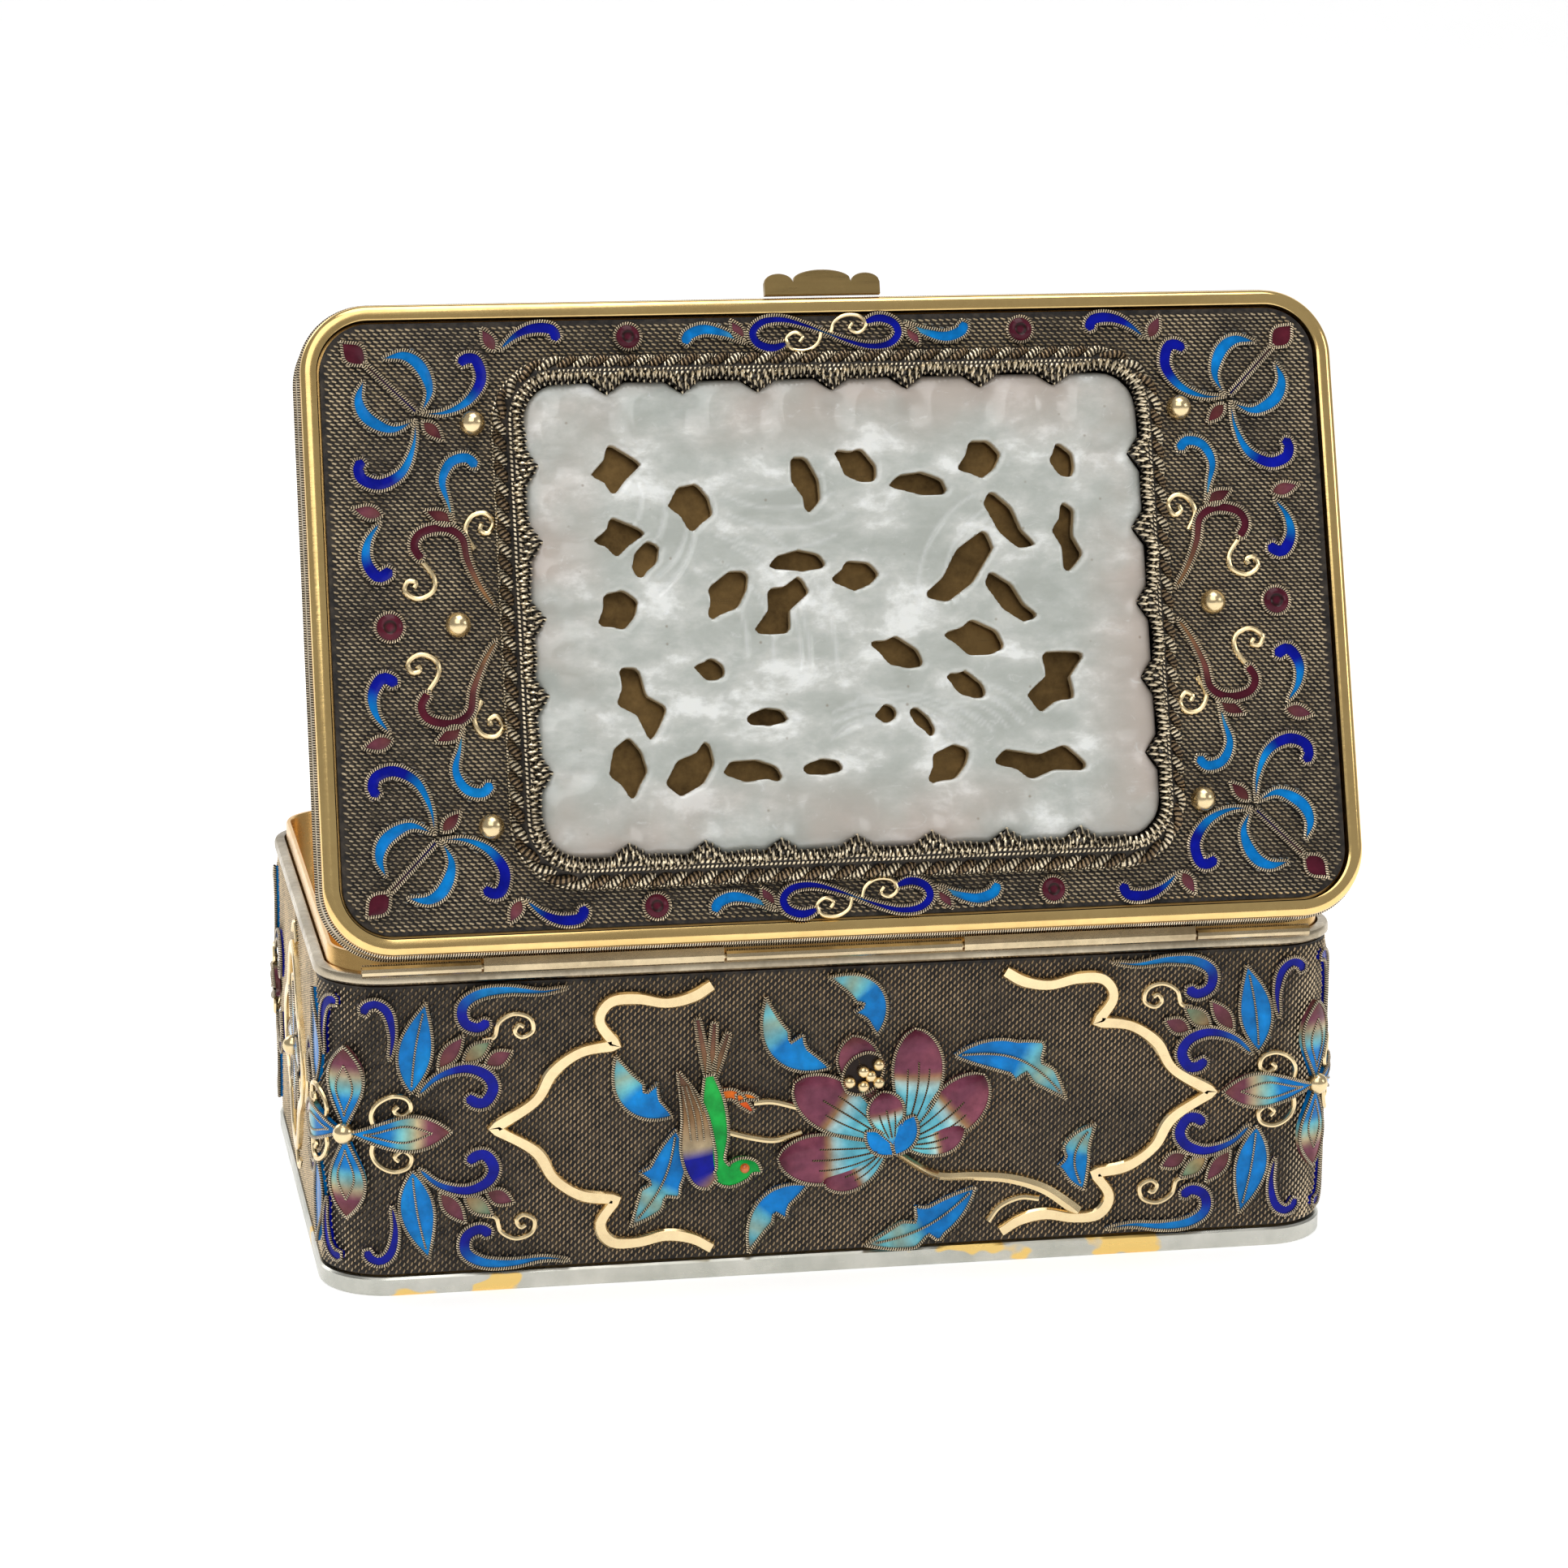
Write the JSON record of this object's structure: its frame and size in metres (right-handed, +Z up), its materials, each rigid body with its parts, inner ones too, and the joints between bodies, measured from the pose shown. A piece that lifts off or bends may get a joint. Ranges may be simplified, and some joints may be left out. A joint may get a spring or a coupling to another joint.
{
  "type": "keepsake box",
  "caption": "Rectangular hinged box of gilt filigree with enamel leaves, flowers and a bird, and a pierced jade plaque in a claw bezel on its lid.",
  "frame": {"origin": "middle of the underside of the box, the face it stands on", "axes": "+Z up, +X along the box, -Y towards the hinge side"},
  "size_m": [0.1286, 0.0875, 0.1215],
  "materials": {
    "gilt_liner": "bright orange gilding",
    "base_band": "plain silver with worn gilding",
    "top_rim": "oxidised silver with gilt edges",
    "woven_wall": "oxidised silver filigree with enamel leaves",
    "lid_field": "oxidised silver filigree with enamel scrolls",
    "lid_shell": "gilding",
    "lid_border": "polished gilding",
    "bezel": "gilded plaited wire",
    "jade_plaque": "polished pale green-grey jade",
    "thumbpiece": "worn brass",
    "hinge_pin": "drawn wire",
    "box_knuckle_1": "gilding",
    "box_knuckle_2": "gilding",
    "box_knuckle_3": "gilding",
    "lid_knuckle_1": "worn silver",
    "lid_knuckle_2": "worn silver",
    "rear_cartouche_left": "gilded strip",
    "rear_left_flower": "glossy enamel in gilt wire",
    "lid_motif_rear_left": "glossy enamel in gilt wire",
    "rear_cartouche_right": "gilded strip",
    "rear_right_flower": "glossy enamel in gilt wire",
    "lid_motif_rear_right": "glossy enamel in gilt wire",
    "rear_lotus": "glossy enamel in gilt wire",
    "front_cartouche_left": "gilded strip",
    "front_left_flower": "glossy enamel in gilt wire",
    "lid_motif_front_left": "glossy enamel in gilt wire",
    "front_cartouche_right": "gilded strip",
    "front_right_flower": "glossy enamel in gilt wire",
    "lid_motif_front_right": "glossy enamel in gilt wire",
    "front_lotus": "glossy enamel in gilt wire",
    "rear_bird": "glossy enamel in gilt wire",
    "left_medallion": "gilded wire",
    "right_medallion": "gilded wire"
  },
  "bodies": {
    "box": {"gilt_liner": "gilt_liner", "base_band": "base_band", "top_rim": "top_rim", "woven_wall": "woven_wall", "hinge_pin": "hinge_pin", "box_knuckle_1": "box_knuckle_1", "box_knuckle_2": "box_knuckle_2", "box_knuckle_3": "box_knuckle_3", "rear_cartouche_left": "rear_cartouche_left", "rear_left_flower": "rear_left_flower", "rear_cartouche_right": "rear_cartouche_right", "rear_right_flower": "rear_right_flower", "rear_lotus": "rear_lotus", "front_cartouche_left": "front_cartouche_left", "front_left_flower": "front_left_flower", "front_cartouche_right": "front_cartouche_right", "front_right_flower": "front_right_flower", "front_lotus": "front_lotus", "rear_bird": "rear_bird", "left_medallion": "left_medallion", "right_medallion": "right_medallion"},
    "lid": {"lid_shell": "lid_shell", "lid_border": "lid_border", "lid_field": "lid_field", "bezel": "bezel", "jade_plaque": "jade_plaque", "thumbpiece": "thumbpiece", "lid_knuckle_1": "lid_knuckle_1", "lid_knuckle_2": "lid_knuckle_2", "lid_motif_rear_left": "lid_motif_rear_left", "lid_motif_rear_right": "lid_motif_rear_right", "lid_motif_front_left": "lid_motif_front_left", "lid_motif_front_right": "lid_motif_front_right"}
  },
  "joints": [
    {"name": "lid_hinge", "type": "hinge", "parent": "box", "child": "lid", "pos_m": [0, -0.0399, 0.0412], "axis": [1, 0, 0], "range_deg": [-71.4, 34]}
  ]
}
